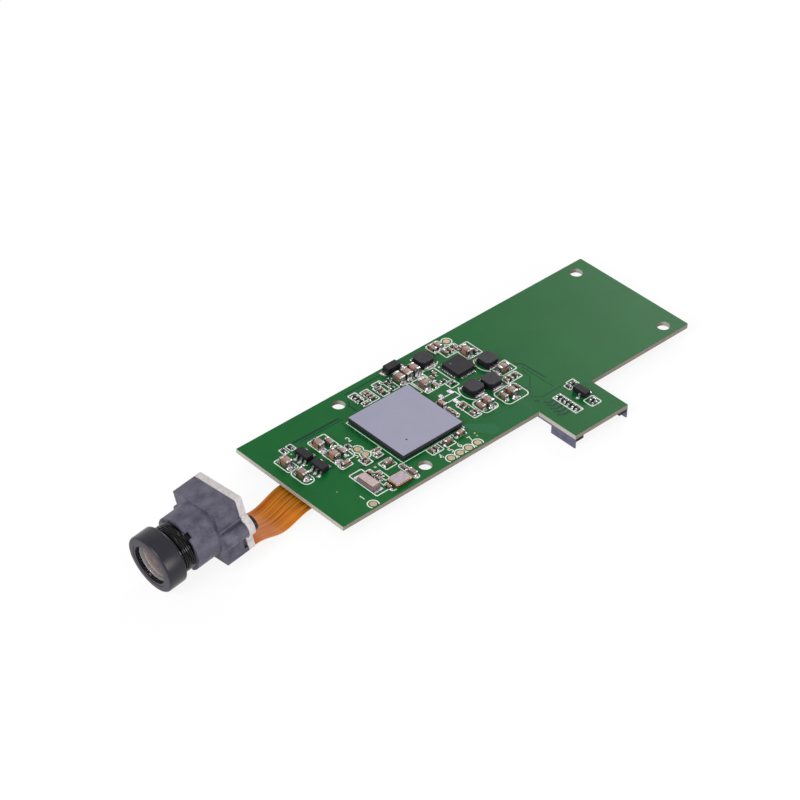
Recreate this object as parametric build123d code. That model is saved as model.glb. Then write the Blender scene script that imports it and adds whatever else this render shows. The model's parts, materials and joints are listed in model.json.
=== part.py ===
from build123d import *
import os
from math import cos, pi, radians, sin

# Camera module: a lens unit on a short flat cable, and the circuit board that it plugs into.
# Sizes are in millimetres. The origin is the middle of the four board holes, on the board's
# underside. +X runs along the board, away from the lens, and +Z is up, out of the chip side.
# Places on the board are counted from its lens-end edge (x) and its front long edge (y).

# Circuit board
board_length = 78.7
board_width = 25.4
board_thickness = 0.8
far_corner_radius = 0.3
tab_start = 42.8
tab_width = 12.2
tab_depth = 8.3
hole_diameter = 2.3
first_hole = 19.7
hole_spacing_x = 55.4
hole_edge_distance = 2.45
hole_spacing_y = board_width - 2 * hole_edge_distance
hole_middle = first_hole + hole_spacing_x / 2

# Processor, a square ball-grid package
processor_size = 13.0
processor_place = (24.2, 11.9)
ball_height = 0.24
ball_diameter = 0.4
ball_pitch = 0.8
balls_per_side = 15
substrate_thickness = 0.26
processor_cap_thickness = 0.66

# Power chip, a square package with leads flush on four sides
power_chip_size = 4.0
power_chip_height = 0.85
power_chip_place = (41.05, 17.0)
power_lead_pitch = 0.4
power_leads_per_side = 8
power_lead_width = 0.22
power_lead_reach = 0.28
power_lead_height = 0.16

# Small packages with bent leads: body length along the lead rows, width, height
small_body_length = 2.9
small_body_width = 1.6
transistor_body_width = 1.35
small_body_height = 1.1
small_body_standoff = 0.1
small_lead_pitch = 0.95
small_lead_width = 0.4
small_lead_thickness = 0.15
small_lead_reach = 0.62
small_lead_foot = 0.36
lead_knee_share = 0.45
mould_draft = 0.06
regulator_places = ((6.65, 16.6), (6.65, 12.9))
transistor_place = (51.35, -1.25)

# Diode with a flat terminal at each end
diode_length = 2.8
diode_width = 1.6
diode_height = 1.1
diode_place = (32.5, 24.05)
diode_terminal_reach = 0.5
diode_terminal_width = 1.0
diode_terminal_thickness = 0.3

# Power inductors
inductor_size = 3.0
inductor_height = 1.2
inductor_corner = 0.55
inductor_terminal_width = 2.2
inductor_terminal_height = 0.45
inductor_terminal_thickness = 0.12
inductor_places = ((37.75, 22.05), (45.7, 14.9), (38.7, 11.1), (42.15, 10.45))

# Chip capacitors and resistors: length, width and height of each size
large_chip = (2.0, 1.25, 1.25)
medium_chip = (1.6, 0.8, 0.8)
small_chip = (1.0, 0.5, 0.45)
resistor_height = 0.35
chip_end_share = 0.24
chip_end_wrap = 0.03

# Places of the chips: x, y, and True where the length runs along y
large_capacitor_places = (
    (3.35, 17.2, True), (3.35, 13.3, True), (10.1, 17.1, True), (10.1, 13.4, True),
    (31.45, 21.2, True), (33.15, 21.2, True), (34.85, 21.2, True), (33.35, 17.2, True),
    (44.8, 19.1, True), (46.1, 11.7, False), (38.05, 7.1, True), (42.7, 6.3, True),
)
medium_capacitor_places = (
    (11.9, 16.6, True), (11.9, 13.4, True), (10.3, 10.8, False), (15.5, 6.65, False),
    (16.75, 2.2, True), (29.1, 4.25, False), (26.2, 4.15, False), (32.15, 11.7, True),
    (41.2, 23.5, True), (42.4, 23.5, True), (36.65, 7.15, True), (41.15, 6.5, True),
)
small_capacitor_places = (
    (13.3, 10.0, False), (13.3, 9.05, False), (16.3, 10.3, False), (15.85, 9.2, False),
    (11.85, 6.75, True), (11.85, 4.9, True), (12.75, 5.5, True), (11.75, 2.3, True),
    (16.75, 4.2, True), (23.1, 20.05, False), (24.9, 22.1, False), (24.9, 21.3, False),
    (24.9, 20.5, False), (27.2, 21.3, False), (27.2, 20.5, False), (22.9, 4.2, True),
    (23.8, 4.2, True), (34.8, 16.2, True), (35.75, 17.8, True), (36.9, 18.6, True),
    (42.3, 21.4, True), (43.35, 21.4, True), (44.4, 21.4, True), (46.25, 18.5, True),
    (34.4, 9.6, False), (34.4, 8.6, False), (34.35, 6.8, True), (35.25, 6.8, True),
    (44.6, 9.3, True), (45.6, 9.3, True), (46.8, 9.4, True), (44.75, 6.9, True),
    (32.1, 9.75, True), (32.1, 8.5, True),
)
resistor_places = (
    (5.25, 19.85, True), (6.65, 19.85, True), (13.6, 13.85, True), (22.9, 22.9, False),
    (22.9, 22.1, False), (22.9, 21.3, False), (27.9, 22.5, False), (29.25, 21.7, True),
    (29.0, 20.2, False), (30.1, 22.1, True), (36.5, 16.1, False), (37.35, 14.65, False),
    (51.05, 1.4, True), (52.2, 1.6, False), (51.45, -3.6, False), (51.05, -4.5, False),
)
resistor_row_place = (47.9, -1.6)
resistor_row_count = 6
resistor_row_pitch = 0.88

# Clock crystals: length along x, length along y, base height, lid height, lid margin and corner
long_crystal = (1.8, 3.7, 0.5, 0.35, 0.12)
long_crystal_place = (9.95, 5.1)
clock_crystal = (3.2, 2.5, 0.5, 0.25, 0.22)
clock_crystal_place = (13.95, 2.25)
crystal_pad_reach = 0.7

# Bare pads
pad_thickness = 0.05
test_pad_diameter = 1.2
test_pad_places = (
    (7.15, 0.95), (14.35, 12.45), (14.45, 10.75), (24.0, 0.95), (25.95, 0.95),
    (27.85, 0.95), (29.85, 0.95), (44.6, 23.6),
)
bare_pad_size = (0.8, 1.1)
bare_pad_places = ((33.65, 13.35), (35.65, 13.35), (34.65, 10.95))

# Memory card socket, under the tab, open towards the tab's front edge
socket_height = 1.85
socket_depth = 14.3
socket_sheet = 0.2
socket_finger_cut = 2.0
socket_finger_radius = 2.1
socket_cheek_length = 5.4
socket_step = 1.9
socket_flange = 0.33
socket_base_thickness = 0.35
socket_base_start = 4.5
socket_rail_width = 0.5
socket_back_wall = 1.0
socket_contacts = 8
socket_contact_pitch = 1.1
socket_contact_shift = 0.8
socket_contact_width = 0.5
socket_contact_thickness = 0.12
socket_contact_length = 5.0
socket_foot_length = 1.7
socket_foot_height = 0.6

# Flash memory under the board, an eight-lead package
flash_place = (30.0, 19.6)
flash_length = 5.25
flash_width = 5.3
flash_height = socket_height
flash_standoff = 0.1
flash_lead_pitch = 1.27
flash_lead_width = 0.42
flash_lead_thickness = 0.2
flash_lead_reach = 1.3
flash_lead_foot = 0.65

# Flat cable
cable_width = 7.5
cable_thickness = 0.15
cable_middle = 11.4
cable_depth = 0.45
stiffener_length = 4.0
stiffener_thickness = 0.15
cable_bend_radius = 1.0
cable_tail_length = 6.0
cable_bend_steps = 5
cable_bend_rise = 0.1
cable_sag = 1.48
cable_sag_place = -5.8
cable_free_start = 0.6
cable_stations = 14
plug_gap = 0.1
stiffener_inset = 0.1

# Cable connector under the board
connector_start = 2.0
connector_depth = 3.8
connector_width = 10.5
connector_height = 1.15
connector_wall = 0.9
mouth_width = 8.0
mouth_top = 0.3
mouth_height = 0.62
latch_bar_depth = 0.8
latch_gap = 0.1
latch_tongue_length = 2.1
latch_tongue_thickness = 0.17
latch_tongue_width = 7.4
latch_clearance = 0.03
latch_lift = 0.05
cable_contacts = 14
cable_contact_pitch = 0.5
cable_contact_width = 0.22
cable_contact_thickness = 0.06
cable_contact_tail = 0.5

# Lens unit: its pose, from the board's lens end
unit_distance = 19.2
unit_side = 11.0
unit_dip = 8.8
unit_roll = 8.0

# Lens holder, along its own axis: z = 0 is the front of the square block
block_size = 10.1
block_depth = 4.25
block_edge = 0.25
sleeve_diameter = 9.4
sleeve_length = 4.35
ear_radius = 1.35
ear_reach = 0.15
ear_shift = 0.4
rib_place = 1.55
rib_radius = 0.25
side_notch = (0.5, 2.1, 0.7)
side_notch_gap = 0.3
seat_ledge_top = 0.6
seat_ledge_thickness = 0.6
seat_window = 5.6
sensor_room = 7.8
glue_notch_width = 1.1
glue_notch_depth = 0.6
glue_notch_count = 3
glue_notch_turn = 75

# Lens barrel
thread_diameter = 8.2
thread_clearance = 0.05
head_diameter = 9.85
head_start = 6.8
head_length = 3.4
head_front_radius = 0.35
head_back_radius = 0.3
neck_diameter = 7.6
neck_length = 0.5
barrel_back = 0.6
front_opening = 6.7
front_ring_recess = 0.05
glass_fit = 0.03
front_seat = (7.6, 8.7)
middle_seat = (5.6, 5.6)
rear_seat = (4.6, 2.6)
aperture = 2.8
front_lens_edge = 0.95
front_lens_dome = 0.4
front_lens_hollow = 0.45
middle_lens_dome = 1.0
rear_lens_dome = 0.6
inner_lens_edge = 0.5
inner_lens_hollow = 0.2
hollow_share = 0.8
rear_ring_width = 0.45
rear_ring_gap = 0.1

# Sensor board behind the holder
sensor_board_thickness = 1.2
sensor_ear_radius = 2.05
sensor_ear_inset = 0.55
sensor_size = 7.0
sensor_height = 0.9
sensor_glass_size = 6.4
sensor_glass_thickness = 0.4
filter_size = 6.6
filter_thickness = 0.3
screw_diameter = 1.0
screw_clearance = 0.03
screw_head_diameter = 2.6
screw_head_height = 0.6
screw_length = 3.4
screw_slot = 0.25
screw_cross = 1.5
screw_hole_spare = 0.3


def on_board(x, y, z=board_thickness):
    """Place counted from the board's lens-end edge and its front long edge."""
    return Pos(x - hole_middle, y - board_width / 2, z)


def standing_box(length, width, height):
    """Box that stands on its own middle."""
    return Box(length, width, height, align=(Align.CENTER, Align.CENTER, Align.MIN))


def tube_of(diameter, start, end):
    """Round bar along z from one height to another."""
    bar = Cylinder(diameter / 2, end - start, align=(Align.CENTER, Align.CENTER, Align.MIN))
    return Pos(0, 0, start) * bar


def write(name, solids):
    """One file for one kind of piece, as a group where there are several."""
    pieces = [solid for item in solids for solid in item.solids()]
    export_step(Compound(children=pieces) if len(pieces) > 1 else pieces[0], f"parts/{name}.step")


def make_board():
    outline = Pos(board_length / 2 - hole_middle, 0) * Rectangle(board_length, board_width)
    outline = fillet(outline.vertices().group_by(Axis.X)[-1], far_corner_radius)
    tab_x = tab_start + tab_width / 2 - hole_middle
    outline += Pos(tab_x, -(board_width + tab_depth) / 2) * Rectangle(tab_width, tab_depth)
    for spot in GridLocations(hole_spacing_x, hole_spacing_y, 2, 2):
        outline -= spot * Circle(hole_diameter / 2)
    return extrude(outline, board_thickness)


def make_pads():
    rounds = [on_board(x, y) * tube_of(test_pad_diameter, 0, pad_thickness) for x, y in test_pad_places]
    flats = [on_board(x, y) * standing_box(*bare_pad_size, pad_thickness) for x, y in bare_pad_places]
    return rounds, flats


def make_processor():
    place = on_board(*processor_place)
    square = Rectangle(processor_size, processor_size)
    ball = Cylinder(ball_diameter / 2, ball_height, align=(Align.CENTER, Align.CENTER, Align.MIN))
    reach = (balls_per_side - 1) * ball_pitch / 2
    grid = GridLocations(ball_pitch, ball_pitch, balls_per_side, balls_per_side)
    edge = reach - ball_pitch / 2
    outer = [spot for spot in grid if max(abs(spot.position.X), abs(spot.position.Y)) > edge]
    balls = [place * spot * ball for spot in outer]
    substrate = place * Pos(0, 0, ball_height) * extrude(square, substrate_thickness)
    cap_slab = extrude(square, processor_cap_thickness)
    cap = place * Pos(0, 0, ball_height + substrate_thickness) * cap_slab
    return substrate, cap, balls


def make_power_chip():
    place = on_board(*power_chip_place)
    body = place * standing_box(power_chip_size, power_chip_size, power_chip_height)
    lead = standing_box(power_lead_reach, power_lead_width, power_lead_height)
    leads = []
    for side in range(4):
        turn = Rot(0, 0, 90 * side)
        for k in range(power_leads_per_side):
            along = (k - (power_leads_per_side - 1) / 2) * power_lead_pitch
            leads.append(place * turn * Pos((power_chip_size + power_lead_reach) / 2, along, 0) * lead)
    return body, leads


def bent_lead(reach, foot, thickness, exit_height, width):
    """Lead that leaves a body's side, comes down and stands on its foot."""
    half = thickness / 2
    heel = reach - foot
    knee = heel * lead_knee_share
    upper = [(0, exit_height + half), (knee + half, exit_height + half), (heel + half, thickness)]
    foot_end = [(reach, thickness), (reach, 0)]
    lower = [(heel - half, 0), (knee - half, exit_height - half), (0, exit_height - half)]
    outline = Polygon(*upper, *foot_end, *lower, align=None)
    return Pos(0, width / 2, 0) * Rot(90, 0, 0) * extrude(outline, width)


def moulded_body(length, width, height, standoff):
    """Moulded package body that narrows a little towards its top and its underside."""
    draft = mould_draft * height
    middle = (standoff + height) / 2
    waist = Pos(0, 0, middle) * Rectangle(length, width)
    top = Pos(0, 0, height) * Rectangle(length - 2 * draft, width - 2 * draft)
    foot = Pos(0, 0, standoff) * Rectangle(length - 2 * draft, width - 2 * draft)
    return loft([waist.face(), top.face()], ruled=True) + loft([foot.face(), waist.face()], ruled=True)


def make_small_package(place, body_width, near_leads, far_leads):
    """Five-lead or three-lead package: leads at the given steps on each long side."""
    body = place * moulded_body(body_width, small_body_length, small_body_height, small_body_standoff)
    middle = small_body_standoff + (small_body_height - small_body_standoff) / 2
    lead = bent_lead(small_lead_reach, small_lead_foot, small_lead_thickness, middle, small_lead_width)
    leads = []
    for step in near_leads:
        leads.append(place * Rot(0, 0, 180) * Pos(body_width / 2, step * small_lead_pitch, 0) * lead)
    for step in far_leads:
        leads.append(place * Pos(body_width / 2, step * small_lead_pitch, 0) * lead)
    return body, leads


def make_diode():
    place = on_board(*diode_place)
    body = place * moulded_body(diode_length, diode_width, diode_height, 0)
    terminal = standing_box(diode_terminal_reach, diode_terminal_width, diode_terminal_thickness)
    shift = (diode_length + diode_terminal_reach) / 2
    return body, [place * Pos(side * shift, 0, 0) * terminal for side in (-1, 1)]


def make_inductors():
    outline = Rectangle(inductor_size, inductor_size)
    outline = chamfer(outline.vertices(), inductor_corner)
    body = extrude(outline, inductor_height)
    sizes = (inductor_terminal_width, inductor_terminal_thickness, inductor_terminal_height)
    terminal = standing_box(*sizes)
    shift = (inductor_size + inductor_terminal_thickness) / 2
    bodies = []
    terminals = []
    for x, y in inductor_places:
        place = on_board(x, y)
        bodies.append(place * body)
        terminals += [place * Pos(0, side * shift, 0) * terminal for side in (-1, 1)]
    return bodies, terminals


def make_chips(size, places):
    """Chip parts of one size: bodies, and the metal end caps that stand a little proud of them."""
    length, width, height = size
    end_length = length * chip_end_share
    body = standing_box(length - 2 * end_length, width - 2 * chip_end_wrap, height - chip_end_wrap)
    end = standing_box(end_length, width, height)
    bodies = []
    ends = []
    for x, y, upright in places:
        place = on_board(x, y) * Rot(0, 0, 90 if upright else 0)
        bodies.append(place * body)
        ends += [place * Pos(side * (length - end_length) / 2, 0, 0) * end for side in (-1, 1)]
    return bodies, ends


def make_crystal(place, sizes):
    """Ceramic base with a metal lid."""
    length, width, base_height, lid_height, margin = sizes
    spot = on_board(*place)
    base = spot * standing_box(length, width, base_height)
    outline = Rectangle(length - 2 * margin, width - 2 * margin)
    outline = fillet(outline.vertices(), margin)
    lid = spot * Pos(0, 0, base_height) * extrude(outline, lid_height)
    return base, lid


def make_crystal_pads():
    """Bare pads past the two ends of the long crystal."""
    across, along = long_crystal[:2]
    spot = on_board(*long_crystal_place)
    shift = (along + crystal_pad_reach) / 2
    pad = standing_box(across, crystal_pad_reach, pad_thickness)
    return [spot * Pos(0, side * shift, 0) * pad for side in (-1, 1)]


def below(x, y):
    """Place on the board's underside, with its own z pointing down."""
    return on_board(x, y, 0) * Rot(180, 0, 0)


def make_card_socket():
    """Sheet-metal shell folded over a moulded base, with a row of spring contacts."""
    middle_x = tab_start + tab_width / 2
    front = -tab_depth
    place = on_board(middle_x, front, 0)
    sheet = socket_sheet
    block = standing_box(tab_width, socket_depth, socket_height)
    shell = Pos(0, socket_depth / 2, -socket_height) * block
    inside = (tab_width - 2 * sheet, socket_depth - sheet, socket_height)
    shell -= Pos(0, inside[1] / 2, sheet - socket_height) * standing_box(*inside)
    finger = Pos(0, 0, -socket_height) * Box(tab_width - 2 * sheet, 2 * socket_finger_cut, 2 * sheet)
    finger += Pos(0, socket_finger_cut, -socket_height) * Cylinder(socket_finger_radius, 2 * sheet)
    shell -= finger
    left = -tab_width / 2
    rear = socket_depth - socket_cheek_length
    wall_height = socket_height - sheet
    step = Pos(left + socket_step / 2, socket_cheek_length + rear / 2, -socket_height)
    shell -= step * standing_box(socket_step, rear, socket_height - socket_flange)
    step_wall = Pos(left + socket_step + sheet / 2, socket_cheek_length + rear / 2, -socket_height)
    shell += step_wall * standing_box(sheet, rear, socket_height - socket_base_thickness)
    base_length = socket_depth - sheet - socket_base_start
    inner_width = tab_width - 2 * sheet
    base_middle = socket_base_start + base_length / 2
    plate = standing_box(inner_width, base_length, socket_base_thickness)
    base = Pos(0, base_middle, -socket_base_thickness) * plate
    well_left = left + socket_step + sheet
    well_right = inner_width / 2
    well = Pos((well_left + well_right) / 2, socket_depth - sheet - socket_back_wall / 2, -wall_height)
    base += well * standing_box(well_right - well_left, socket_back_wall, wall_height)
    rail_length = socket_depth - sheet - socket_cheek_length
    rail = standing_box(socket_rail_width, rail_length, wall_height)
    for rail_x in (well_left + socket_rail_width / 2, well_right - socket_rail_width / 2):
        base += Pos(rail_x, socket_cheek_length + rail_length / 2, -wall_height) * rail
    for side in (-1, 1):
        foot_x = side * (inner_width - socket_foot_length) / 2
        foot = Pos(foot_x, socket_base_start / 2, -socket_foot_height)
        base += foot * standing_box(socket_foot_length, socket_base_start, socket_foot_height)
    contacts = []
    spring = standing_box(socket_contact_width, socket_contact_length, socket_contact_thickness)
    nose = standing_box(socket_contact_width, socket_contact_width, 2 * socket_contact_thickness)
    level = -socket_base_thickness - socket_contact_thickness
    for k in range(socket_contacts):
        along = (k - (socket_contacts - 1) / 2) * socket_contact_pitch + socket_contact_shift
        strip = Pos(along, base_middle, level) * spring
        tip_y = base_middle - socket_contact_length / 2 + socket_contact_width
        strip += Pos(along, tip_y, level - 2 * socket_contact_thickness) * nose
        contacts.append(place * strip)
    return place * shell, place * base, contacts


def make_flash():
    """Eight-lead memory chip, hanging under the board."""
    place = below(*flash_place)
    body = place * moulded_body(flash_length, flash_width, flash_height, flash_standoff)
    middle = flash_standoff + (flash_height - flash_standoff) / 2
    lead = bent_lead(flash_lead_reach, flash_lead_foot, flash_lead_thickness, middle, flash_lead_width)
    leads = []
    for side in (90, -90):
        for k in range(4):
            along = (k - 1.5) * flash_lead_pitch
            leads.append(place * Rot(0, 0, side) * Pos(flash_width / 2, along, 0) * lead)
    return body, leads


def make_connector():
    """Zero-force connector: housing with a mouth, contacts through its back, and a sliding latch."""
    place = on_board(connector_start, cable_middle, 0)
    mouth_depth = connector_depth - connector_wall
    block = Pos(connector_depth / 2, 0, -connector_height)
    housing = block * standing_box(connector_depth, connector_width, connector_height)
    mouth = Pos(mouth_depth / 2, 0, -mouth_top - mouth_height)
    housing -= mouth * standing_box(mouth_depth, mouth_width, mouth_height)
    contacts = []
    strip_length = connector_depth - 2 * connector_wall
    strip_start = connector_depth - strip_length
    for k in range(cable_contacts):
        along = (k - (cable_contacts - 1) / 2) * cable_contact_pitch
        level = -mouth_top - cable_contact_thickness
        strip = Pos(strip_start + strip_length / 2, along, level)
        contact = strip * standing_box(strip_length, cable_contact_width, cable_contact_thickness)
        tail_height = mouth_top + cable_contact_thickness
        tail = Pos(connector_depth + cable_contact_tail / 2, along, level)
        contact += tail * standing_box(cable_contact_tail, cable_contact_width, tail_height)
        housing -= strip * standing_box(strip_length, cable_contact_width, cable_contact_thickness)
        contacts.append(place * contact)
    bar_x = -latch_gap - latch_bar_depth / 2
    bar = standing_box(latch_bar_depth, connector_width, connector_height - latch_lift)
    latch = Pos(bar_x, 0, -connector_height) * bar
    window_bottom = mouth_top + mouth_height - latch_tongue_thickness - 2 * latch_clearance
    window_height = window_bottom - mouth_top
    window = Pos(bar_x, 0, -window_bottom)
    latch -= window * standing_box(2 * latch_bar_depth, mouth_width, window_height)
    tongue_level = -mouth_top - mouth_height + latch_clearance
    tongue_length = latch_tongue_length + latch_gap
    tongue = Pos(tongue_length / 2 - latch_gap, 0, tongue_level)
    latch += tongue * standing_box(tongue_length, latch_tongue_width, latch_tongue_thickness)
    return place * housing, contacts, place * latch


def unit_plane():
    """The lens unit's own frame: z out of the lens, y up, x to the right seen from the front."""
    dip = radians(unit_dip)
    roll = radians(unit_roll)
    out = Vector(-cos(dip), 0, -sin(dip))
    level_right = Vector(0, -1, 0)
    level_up = Vector(-sin(dip), 0, cos(dip))
    right = level_right * cos(roll) + level_up * sin(roll)
    front = head_start + head_length - head_front_radius
    height = -socket_height + head_diameter / 2 * cos(dip) + front * sin(dip)
    origin = (-unit_distance - hole_middle, unit_side - board_width / 2, height)
    return Plane(origin=origin, x_dir=right, z_dir=out)


def make_holder():
    """Moulded holder: square block, round sleeve, two screw ears, filter ledge and sensor room."""
    depth = block_depth
    outline = Rectangle(block_size, block_size)
    outline = fillet(outline.vertices(), block_edge)
    for side in (-1, 1):
        ear_x = side * (block_size / 2 + ear_reach)
        outline += Pos(ear_x, -side * ear_shift) * Circle(ear_radius)
        outline += Pos(side * block_size / 2, side * rib_place) * Circle(rib_radius)
    holder = Pos(0, 0, -depth) * extrude(outline, depth)
    holder += tube_of(sleeve_diameter, 0, sleeve_length)
    bore = thread_diameter + 2 * thread_clearance
    holder -= tube_of(bore, -seat_ledge_top, sleeve_length)
    window = standing_box(seat_window, seat_window, depth)
    holder -= Pos(0, 0, -depth) * window
    room = standing_box(sensor_room, sensor_room, depth - seat_ledge_top - seat_ledge_thickness)
    holder -= Pos(0, 0, -depth) * room
    for k in range(glue_notch_count):
        turn = Rot(0, 0, glue_notch_turn + 360 * k / glue_notch_count)
        notch = Box(glue_notch_width, sleeve_diameter, 2 * glue_notch_depth)
        holder -= turn * Pos(0, sleeve_diameter / 2, sleeve_length) * notch
    notch_depth, notch_height, notch_length = side_notch
    pilot_end = screw_length - sensor_board_thickness + screw_hole_spare - depth
    pilot = tube_of(screw_diameter + 2 * screw_clearance, -depth, pilot_end)
    for side in (-1, 1):
        notch_y = ear_shift + ear_radius + side_notch_gap + notch_height / 2
        place = Pos(side * block_size / 2, -side * notch_y, -depth)
        holder -= place * Box(2 * notch_depth, notch_height, 2 * notch_length)
        ear_x = side * (block_size / 2 + ear_reach)
        holder -= Pos(ear_x, -side * ear_shift) * pilot
    return holder


def make_barrel():
    """Threaded barrel with a wide head, bored in steps for the glass."""
    head_end = head_start + head_length
    head = tube_of(head_diameter, head_start, head_end)
    head = fillet(head.edges().filter_by(GeomType.CIRCLE).sort_by(Axis.Z)[-1], head_front_radius)
    head = fillet(head.edges().filter_by(GeomType.CIRCLE).sort_by(Axis.Z)[0], head_back_radius)
    barrel = head + tube_of(neck_diameter, head_start - neck_length, head_start)
    barrel += tube_of(thread_diameter, barrel_back, head_start - neck_length)
    front_bore, front_level = front_seat
    middle_bore, middle_level = middle_seat
    rear_bore, rear_level = rear_seat
    barrel -= tube_of(front_bore, front_level, head_end)
    barrel -= tube_of(middle_bore, middle_level, front_level)
    barrel -= tube_of(aperture, rear_level, middle_level)
    barrel -= tube_of(rear_bore, barrel_back, rear_level)
    return barrel


def domed_glass(diameter, level, edge, dome, hollow):
    """Lens element: a disc with a domed front and a hollowed back."""
    radius = diameter / 2
    disc = tube_of(diameter, level, level + edge + dome)
    crown_radius = (radius ** 2 + dome ** 2) / (2 * dome)
    disc &= Pos(0, 0, level + edge + dome - crown_radius) * Sphere(crown_radius)
    hollow_radius = ((hollow_share * radius) ** 2 + hollow ** 2) / (2 * hollow)
    return disc - Pos(0, 0, level + hollow - hollow_radius) * Sphere(hollow_radius)


def make_glass():
    """Front, middle and rear elements, each with a running fit in its seat."""
    front_bore, front_level = front_seat
    middle_bore, middle_level = middle_seat
    rear_bore, rear_level = rear_seat
    spare = 2 * glass_fit
    edge = inner_lens_edge
    hollow = inner_lens_hollow
    front_shape = (front_lens_edge, front_lens_dome, front_lens_hollow)
    front = domed_glass(front_bore - spare, front_level + glass_fit, *front_shape)
    middle = domed_glass(middle_bore - spare, middle_level + glass_fit, edge, middle_lens_dome, hollow)
    rear_start = rear_level - glass_fit - edge - rear_lens_dome
    rear = domed_glass(rear_bore - spare, rear_start, edge, rear_lens_dome, hollow)
    return front, middle, rear


def make_rings():
    """Rings that hold the front and the rear glass in the barrel."""
    front_bore, front_level = front_seat
    rear_bore, rear_level = rear_seat
    glass_radius = front_bore / 2 - glass_fit
    crown = front_lens_dome * (1 - (front_opening / 2 / glass_radius) ** 2)
    front_start = front_level + 2 * glass_fit + front_lens_edge + crown
    front_end = head_start + head_length - front_ring_recess
    front = tube_of(front_bore, front_start, front_end) - tube_of(front_opening, front_start, front_end)
    rear_end = rear_level - inner_lens_edge - rear_lens_dome - rear_ring_gap
    rear = tube_of(rear_bore, barrel_back, rear_end)
    rear -= tube_of(rear_bore - 2 * rear_ring_width, barrel_back, rear_end)
    return front, rear


def make_sensor_parts():
    """Sensor board with screw ears, image sensor, its glass, the infrared filter and the screws."""
    face = -block_depth
    outline = Rectangle(block_size, block_size)
    outline = fillet(outline.vertices(), block_edge)
    screws = []
    for side in (-1, 1):
        ear_x = side * (block_size / 2 - sensor_ear_inset)
        outline += Pos(ear_x, -side * ear_shift) * Circle(sensor_ear_radius)
    back = face - sensor_board_thickness
    for side in (-1, 1):
        screw_x = side * (block_size / 2 + ear_reach)
        spot = Pos(screw_x, -side * ear_shift)
        outline -= spot * Circle(screw_diameter / 2 + screw_clearance)
        screw = tube_of(screw_diameter, back, back + screw_length)
        screw += tube_of(screw_head_diameter, back - screw_head_height, back)
        cross = Box(screw_cross, screw_slot, screw_head_height)
        cross += Box(screw_slot, screw_cross, screw_head_height)
        screw -= Pos(0, 0, back - screw_head_height) * cross
        screws.append(spot * screw)
    board = Pos(0, 0, back) * extrude(outline, sensor_board_thickness)
    sensor = Pos(0, 0, face) * standing_box(sensor_size, sensor_size, sensor_height)
    cover = standing_box(sensor_glass_size, sensor_glass_size, sensor_glass_thickness)
    glass = Pos(0, 0, face + sensor_height) * cover
    ledge = -seat_ledge_top - seat_ledge_thickness
    pane = standing_box(filter_size, filter_size, filter_thickness)
    infrared = Pos(0, 0, ledge - filter_thickness) * pane
    return board, sensor, glass, infrared, screws


def make_cable():
    """Flat cable: bonded to the sensor board's back, bent round its foot, then out to the connector."""
    unit = unit_plane()
    tail = -block_depth - sensor_board_thickness - cable_thickness / 2
    bend_top = -block_size / 2 + cable_bend_rise
    frames = []
    for height in (bend_top + cable_tail_length, bend_top):
        frames.append((unit.from_local_coords(Vector(0, height, tail)), -unit.y_dir, unit.x_dir))
    for k in range(1, cable_bend_steps + 1):
        angle = pi / 2 * k / cable_bend_steps
        y = bend_top - cable_bend_radius * sin(angle)
        z = tail - cable_bend_radius * (1 - cos(angle))
        along = unit.y_dir * -cos(angle) - unit.z_dir * sin(angle)
        frames.append((unit.from_local_coords(Vector(0, y, z)), along, unit.x_dir))
    start, start_along, right = frames[-1]
    edge = -hole_middle
    side = cable_middle - board_width / 2
    low = Vector(edge + cable_sag_place, (start.Y + side) / 2, -cable_sag)
    end = Vector(edge + cable_free_start, side, -cable_depth)
    route = Spline(start, low, end, tangents=(start_along, Vector(1, 0, 0)))
    level = Vector(0, -1, 0)
    for k in range(1, cable_stations + 1):
        t = k / cable_stations
        along = route % t
        across = right * (1 - t) + level * t
        frames.append((route @ t, along, across))
    plug_x = edge + connector_start + connector_depth - connector_wall - plug_gap
    plug = Vector(plug_x, side, -cable_depth)
    frames.append((plug, Vector(1, 0, 0), level))
    sections = []
    for point, along, across in frames:
        flat = across - along * across.dot(along)
        plane = Plane(origin=point, x_dir=flat, z_dir=along)
        sections.append((plane * Rectangle(cable_width, cable_thickness)).face())
    cable = loft(sections, ruled=True)
    stiffener_x = plug.X - stiffener_length / 2
    level_z = -cable_depth - cable_thickness / 2 - stiffener_thickness
    strip = standing_box(stiffener_length, cable_width - 2 * stiffener_inset, stiffener_thickness)
    stiffener = Pos(stiffener_x, side, level_z) * strip
    return cable, stiffener


os.makedirs("parts", exist_ok=True)

write("main_board", [make_board()])
round_pads, flat_pads = make_pads()
write("test_pads", round_pads)

substrate, cap, balls = make_processor()
write("processor_substrate", [substrate])
write("processor_cap", [cap])
write("processor_balls", balls)

power_body, power_leads = make_power_chip()
write("power_chip_body", [power_body])
write("power_chip_leads", power_leads)

for number, place in enumerate(regulator_places, start=1):
    body, leads = make_small_package(on_board(*place), small_body_width, (-1, 0, 1), (-1, 1))
    write(f"regulator_{number}_body", [body])
    write(f"regulator_{number}_leads", leads)
body, leads = make_small_package(on_board(*transistor_place), transistor_body_width, (0,), (-1, 1))
write("transistor_body", [body])
write("transistor_leads", leads)

body, terminals = make_diode()
write("diode_body", [body])
write("diode_terminals", terminals)

bodies, terminals = make_inductors()
write("inductor_bodies", bodies)
write("inductor_terminals", terminals)

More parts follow.
